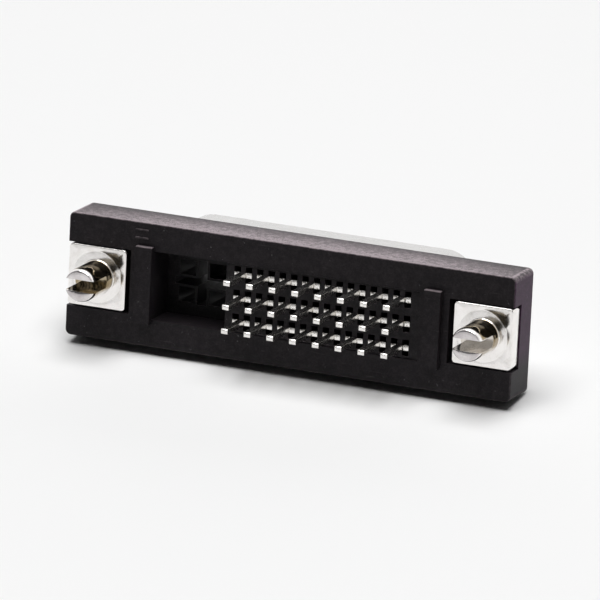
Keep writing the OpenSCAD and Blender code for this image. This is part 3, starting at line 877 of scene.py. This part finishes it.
def rounded_loop(corners, y, segments):
    """Mesh of a closed outline in a plane across Y, its corners rounded as vertex bevels."""
    bm = bmesh.new()
    verts = [bm.verts.new((x, y, z)) for x, z, r, turn in corners]
    bm.faces.new(verts)
    for vert, (x, z, r, turn) in zip(verts, corners):
        bmesh.ops.bevel(
            bm, geom=[vert], offset=r * math.tan(turn / 2), offset_type="OFFSET", affect="VERTICES",
            segments=segments, profile=0.5, material=-1, clamp_overlap=False,
        )
    bmesh.ops.delete(bm, geom=bm.faces[:], context="FACES_ONLY")
    return bm


def join_loop(bm, loop):
    """Adds a loop's mesh to another mesh and returns its edges there."""
    mesh = bpy.data.meshes.new("loop")
    loop.to_mesh(mesh)
    loop.free()
    known = set(bm.edges)
    bm.from_mesh(mesh)
    bpy.data.meshes.remove(mesh)
    return [e for e in bm.edges if e not in known]


def cut_fingers(bm, s, side, count, flange_y, rim_y):
    """Cuts the spring fingers free in the top or the underside, and dips them inwards."""
    wall_z = side * s.shroud_h / 2
    root_y = rim_y - s.finger_root
    free_y = root_y - s.finger_l
    dip_y = root_y - 0.72 * s.finger_l
    half = s.finger_w / 2
    wide = half + s.finger_cut
    centres = [(k - (count - 1) / 2) * s.finger_pitch - s.shroud_x for k in range(count)]

    def wall(f):
        return same(middle(f).z, wall_z) and middle(f).y > flange_y + s.root_r

    def aside(x):
        return min(abs(x - c) for c in centres)

    def in_cut(f):
        x, y = aside(middle(f).x), middle(f).y
        return free_y - s.finger_cut < y < root_y and x < wide and (x > half or y < free_y)

    steps = [root_y + (dip_y - root_y) * k / 4 for k in range(1, 4)]
    cut(bm, "x", [c + way * w for c in centres for way in (-1, 1) for w in (half, wide)], wall)
    cut(bm, "y", [root_y, *steps, dip_y, (dip_y + free_y) / 2, free_y, free_y - s.finger_cut], wall)
    bmesh.ops.delete(bm, geom=[f for f in bm.faces if wall(f) and in_cut(f)], context="FACES")
    for v in bm.verts:
        on_finger = same(v.co.z, wall_z) and aside(v.co.x) < half + NEAR
        if on_finger and free_y - NEAR < v.co.y < root_y - NEAR:
            if v.co.y > dip_y:
                dip = 0.5 - 0.5 * math.cos(math.pi * (root_y - v.co.y) / (root_y - dip_y))
            else:
                dip = 1 - 0.67 * ((dip_y - v.co.y) / (dip_y - free_y)) ** 2
            v.co.z -= side * s.finger_dip * dip


def shell_mesh(s, size, flange_y, rim_y):
    """Drawn sheet: flange with two passages, and the shroud with its spring fingers."""
    bm = bmesh.new()
    rings = [
        (s.root_r * (1 - math.sin(a)), flange_y + s.root_r * (1 - math.cos(a))) for a in quarter(5)
    ]
    rings.append((0, rim_y))
    loops = [join_loop(bm, shroud_loop(s, grow, y)) for grow, y in rings]
    half_l, half_h = size.x / 2, size.z / 2
    plate = [
        (x * half_l, z * half_h, s.flange_r, math.pi / 2) for x, z in ((1, -1), (1, 1), (-1, 1), (-1, -1))
    ]
    holes = join_loop(bm, rounded_loop(plate, flange_y, 6))
    for side in (-1, 1):
        holes += add_circle(bm, side * lock_x(), flange_y, s.passage_r, 48)
    bmesh.ops.triangle_fill(bm, edges=holes + loops[0], use_beauty=True, normal=(0, 1, 0))
    for first, second in zip(loops, loops[1:]):
        bmesh.ops.bridge_loops(bm, edges=first + second)
    for side, count in ((1, s.fingers_top), (-1, s.fingers_low)):
        cut_fingers(bm, s, side, count, flange_y, rim_y)
    bmesh.ops.recalc_face_normals(bm, faces=bm.faces)
    flange = max(bm.faces, key=lambda f: f.calc_area() * (middle(f).y < flange_y + NEAR))
    if flange.normal.y < 0:
        bmesh.ops.reverse_faces(bm, faces=bm.faces)
    bmesh.ops.solidify(bm, geom=bm.faces[:], thickness=s.sheet)
    bmesh.ops.recalc_face_normals(bm, faces=bm.faces)
    round_edges(bm, sharp_edges(bm, 60, convex=True), s.edge_r, 2)
    return bm


def core_mesh(edge_r):
    """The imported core, welded into one surface with its outer edges softened."""
    bm = bmesh.new()
    bm.from_mesh(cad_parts["insulating_core"].data)
    bmesh.ops.scale(bm, vec=(1 / MM, 1 / MM, 1 / MM), verts=bm.verts)
    bmesh.ops.remove_doubles(bm, verts=bm.verts, dist=2 * NEAR)
    merge_flats(bm)
    round_edges(bm, sharp_edges(bm, 60, convex=True), edge_r, 1)
    return bm


# Operators


class SOCKET_OT_housing(bpy.types.Operator):
    """Adds the black moulding with window, pockets, ribs and dashes"""

    bl_idname = "socket.add_housing"
    bl_label = "Housing"

    def execute(self, context):
        low, high = cad_box("housing")
        size = Vector((high.x - low.x, high.y - datum().y, high.z - low.z))
        bm = housing_mesh(in_mm(context.scene.socket_housing), size)
        plastic = material("Black moulding", black_plastic, "housing", 0.55, True)
        make_piece(bm, "black_housing", plastic, ["housing"], datum())
        return {"FINISHED"}


class SOCKET_OT_core(bpy.types.Operator):
    """Adds the insulating core with its softened edges"""

    bl_idname = "socket.add_core"
    bl_label = "Insulating core"

    def execute(self, context):
        bm = core_mesh(in_mm(context.scene.socket_housing).core_edge)
        plastic = material("Core moulding", black_plastic, "core", 0.3)
        make_piece(bm, "black_core", plastic, ["insulating_core"], wear_and_highlight_w=0.08)
        return {"FINISHED"}


class SOCKET_OT_locks(bpy.types.Operator):
    """Adds the two turned screw locks"""

    bl_idname = "socket.add_locks"
    bl_label = "Screw locks"

    def execute(self, context):
        s = in_mm(context.scene.socket_lock)
        rear = datum()
        for side in ("left", "right"):
            node = side + "_screw_lock"
            low, high = cad_box(node)
            pin_l = rear.y - low.y
            bm = lock_mesh(s, pin_l, high.y - rear.y)
            place = Vector(((low.x + high.x) / 2, rear.y, rear.z))
            nickel = material("Turned nickel", turned_metal, "nickel", s, pin_l)
            make_piece(bm, side + "_turned_lock", nickel, [node], place, sharp=24)
        return {"FINISHED"}


class SOCKET_OT_contacts(bpy.types.Operator):
    """Adds the stamped contacts with their solder tails"""

    bl_idname = "socket.add_contacts"
    bl_label = "Contacts"

    def execute(self, context):
        s = in_mm(context.scene.socket_contact)
        rear = datum()
        tin = material("Tin plating", plated_metal, "tin", 0.16)
        for node in CONTACTS:
            low, high = cad_box(node)
            bm = contact_mesh(s, high.y - rear.y)
            place = Vector(((low.x + high.x) / 2, rear.y, (low.z + high.z) / 2))
            make_piece(bm, "tail_" + node, tin, [node], place, wear_and_highlight_w=0.03)
        return {"FINISHED"}


class SOCKET_OT_shell(bpy.types.Operator):
    """Adds the drawn metal shell with its flange and spring fingers"""

    bl_idname = "socket.add_shell"
    bl_label = "Shell"

    def execute(self, context):
        s = in_mm(context.scene.socket_shell)
        low, high = cad_box("front_shell")
        rear = datum()
        bm = shell_mesh(s, high - low, low.y - rear.y + s.sheet, high.y - rear.y)
        plating = material("Sheet plating", plated_metal, "shell", 0.2)
        make_piece(bm, "drawn_shell", plating, ["front_shell"], rear)
        return {"FINISHED"}


class SOCKET_OT_stage(bpy.types.Operator):
    """Adds the pale floor, the dark card, the studio light and the camera"""

    bl_idname = "socket.add_stage"
    bl_label = "Stage"

    def execute(self, context):
        s = context.scene.socket_stage
        rest_floor(s)
        white_world(s)
        dark_card(s)
        for lamp in LAMPS:
            soft_lamp(*lamp)
        add_camera(s)
        context.scene.view_settings.view_transform = "Standard"
        return {"FINISHED"}


# Stage

# Name, azimuth and elevation in degrees, distance, width and height in metres, power in watts, and
# whether it lights matt surfaces, shows in mirroring ones or does both
LAMPS = [
    ("Overhead light", 0.0, 76.0, 0.7, 0.6, 0.5, 5.65, "both"),
    ("Back panel", 178.0, 25.0, 0.9, 1.5, 0.7, 2.9, "matt"),
    ("Front card", -22.0, -6.0, 0.85, 1.4, 0.13, 0.45, "mirrors"),
    ("Dim card", -11.0, 18.0, 0.85, 0.4, 0.38, 0.2, "mirrors"),
]


def away(azimuth, elevation):
    """Direction from the part to a lamp or camera. Azimuth 0 is behind the part's rear face."""
    level = math.cos(elevation)
    return Vector((math.sin(azimuth) * level, -math.cos(azimuth) * level, math.sin(elevation)))


def pointed(location, target, up=Vector((0, 0, 1))):
    """Matrix of a lamp or camera that looks at a point."""
    back = (location - target).normalized()
    right = up.cross(back).normalized()
    rows = Matrix((right, back.cross(right), back)).transposed()
    return Matrix.Translation(location) @ rows.to_4x4()


def soft_lamp(name, azimuth, elevation, distance, width, height, power, lights):
    """A rectangular area light that looks at the origin."""
    lamp = bpy.data.lights.new(name, "AREA")
    lamp.shape = "RECTANGLE"
    lamp.size = width
    lamp.size_y = height
    lamp.energy = power
    holder = add_object(name, lamp)
    place = away(math.radians(azimuth), math.radians(elevation)) * distance
    holder.matrix_world = pointed(place, Vector((0, 0, 0)))
    holder.visible_diffuse = lights != "mirrors"
    holder.visible_glossy = lights != "matt"


def stage_sheet(bm, name, coat):
    """An object of the stage made from a flat mesh in metres."""
    mesh = bpy.data.meshes.new(name)
    bm.to_mesh(mesh)
    bm.free()
    mesh.materials.append(coat)
    sheet = add_object(name, mesh)
    return sheet


def rest_floor(s):
    """A pale floor that leans on the shell's rim, with the housing's front edge close above it."""
    housing = in_mm(bpy.context.scene.socket_housing)
    shroud_h = bpy.context.scene.socket_shell.shroud_h / MM
    low, high = cad_box("housing")
    edge_y, edge_z = high.y - housing.rim_r, low.z + housing.rim_r
    rim_y, rim_z = cad_box("front_shell")[1].y, datum().z - shroud_h / 2
    reach = math.hypot(rim_y - edge_y, rim_z - edge_z)
    tilt = math.atan2(rim_z - edge_z, rim_y - edge_y) + math.asin(housing.rim_r / reach) + s.extra_lean
    clearance = 0.004
    bm = bmesh.new()
    bmesh.ops.create_grid(bm, x_segments=8, y_segments=8, size=s.floor_w / 2)
    bmesh.ops.rotate(bm, cent=(0, 0, 0), matrix=Matrix.Rotation(tilt, 3, "X"), verts=bm.verts)
    bmesh.ops.translate(bm, vec=(0, rim_y * MM, (rim_z - clearance) * MM), verts=bm.verts)
    stage_sheet(bm, "Floor", floor_paint(s))


def floor_paint(s):
    """Pale matt floor that can be looked through from below."""
    paint = Paint("Pale floor")
    cloud = paint.node("ShaderNodeTexNoise", {}, {"Vector": paint.place, "Scale": 6.0})
    tone = paint.mix(cloud.clipped(0.3, 0.7) * 0.3, s.floor, [0.99 * c for c in s.floor])
    paint.set(base_color=tone, roughness=0.7, specular_ior_level=0.1)
    below = paint.node("ShaderNodeNewGeometry", out="Backfacing")
    pale = Value(paint, paint.shader.outputs[0])
    clear = paint.node("ShaderNodeBsdfTransparent")
    either = paint.node("ShaderNodeMixShader", {}, {0: below, 1: pale, 2: clear})
    paint.feed(paint.first("OUTPUT_MATERIAL").inputs["Surface"], either)
    return paint.material


def dark_card(s):
    """A dark card on the camera's side, which only shows in what mirrors it."""
    upright = Matrix.Rotation(math.pi / 2, 4, "X") @ Matrix.Diagonal((s.card_w, s.card_h, 1, 1))
    place = Matrix.Translation((0, -s.card_distance, s.card_rise)) @ upright
    bm = bmesh.new()
    bmesh.ops.create_grid(bm, x_segments=1, y_segments=1, size=0.5, matrix=place)
    paint = Paint("Dark card")
    paint.set(base_color=(*s.card, 1.0), roughness=1.0, specular_ior_level=0.0)
    card = stage_sheet(bm, "Dark card", paint.material)
    card.visible_camera = False
    card.visible_diffuse = False
    card.visible_shadow = False


def white_world(s):
    """Surroundings that are white for the camera and in what mirrors them, and dim for matt surfaces."""
    world = bpy.data.worlds.new("White surroundings")
    world.use_nodes = True
    nodes = Nodes(world.node_tree)
    kinds = ("Is Camera Ray", "Is Glossy Ray", "Is Transmission Ray")
    seen = sum(nodes.node("ShaderNodeLightPath", out=kind) for kind in kinds)
    shade = nodes.first("BACKGROUND").inputs
    nodes.feed(shade["Color"], (1.0, 1.0, 1.0, 1.0))
    nodes.feed(shade["Strength"], s.world + (1.0 - s.world) * seen.clipped(0.0, 1.0))
    bpy.context.scene.world = world


def add_camera(s):
    """The camera at the photograph's angle, aimed a little off the rear face's middle."""
    origin = datum() * MM
    back = away(s.azimuth, s.elevation)
    level = Vector((math.cos(s.azimuth), math.sin(s.azimuth), 0))
    up = back.cross(level)
    roll = Matrix.Rotation(s.roll, 3, back)
    right, top = roll @ level, roll @ up
    camera = bpy.data.cameras.new("Camera")
    camera.sensor_width = 36.0
    camera.lens = s.lens
    camera.clip_start = 0.05
    camera.clip_end = 10.0
    holder = add_object("Camera", camera)
    target = origin + right * s.aim_right + top * s.aim_up
    holder.matrix_world = pointed(origin + back * s.distance, target, top)
    bpy.context.scene.camera = holder


# Panel, registration and run

STEPS = [
    SOCKET_OT_housing,
    SOCKET_OT_core,
    SOCKET_OT_locks,
    SOCKET_OT_contacts,
    SOCKET_OT_shell,
    SOCKET_OT_stage,
]


class SOCKET_PT_panel(bpy.types.Panel):
    """Lists the steps that build the socket, and its sizes and colours"""

    bl_idname = "SOCKET_PT_panel"
    bl_label = "Board-mount video socket"
    bl_space_type = "VIEW_3D"
    bl_region_type = "UI"
    bl_category = "Socket"

    def draw(self, context):
        for step in STEPS:
            self.layout.operator(step.bl_idname)
        for place, group in GROUPS.items():
            values = getattr(context.scene, place)
            box = self.layout.box()
            box.label(text=place.replace("_", " ").capitalize())
            for name in group.__annotations__:
                box.prop(values, name)


CLASSES = [*GROUPS.values(), *STEPS, SOCKET_PT_panel]


def register():
    for kind in CLASSES:
        bpy.utils.register_class(kind)
    for place, group in GROUPS.items():
        setattr(bpy.types.Scene, place, PointerProperty(type=group))


def unregister():
    for place in GROUPS:
        delattr(bpy.types.Scene, place)
    for kind in reversed(CLASSES):
        bpy.utils.unregister_class(kind)


def main():
    register()
    for step in STEPS:
        place, name = step.bl_idname.split(".")
        getattr(getattr(bpy.ops, place), name)()


if __name__ == "__main__":
    main()
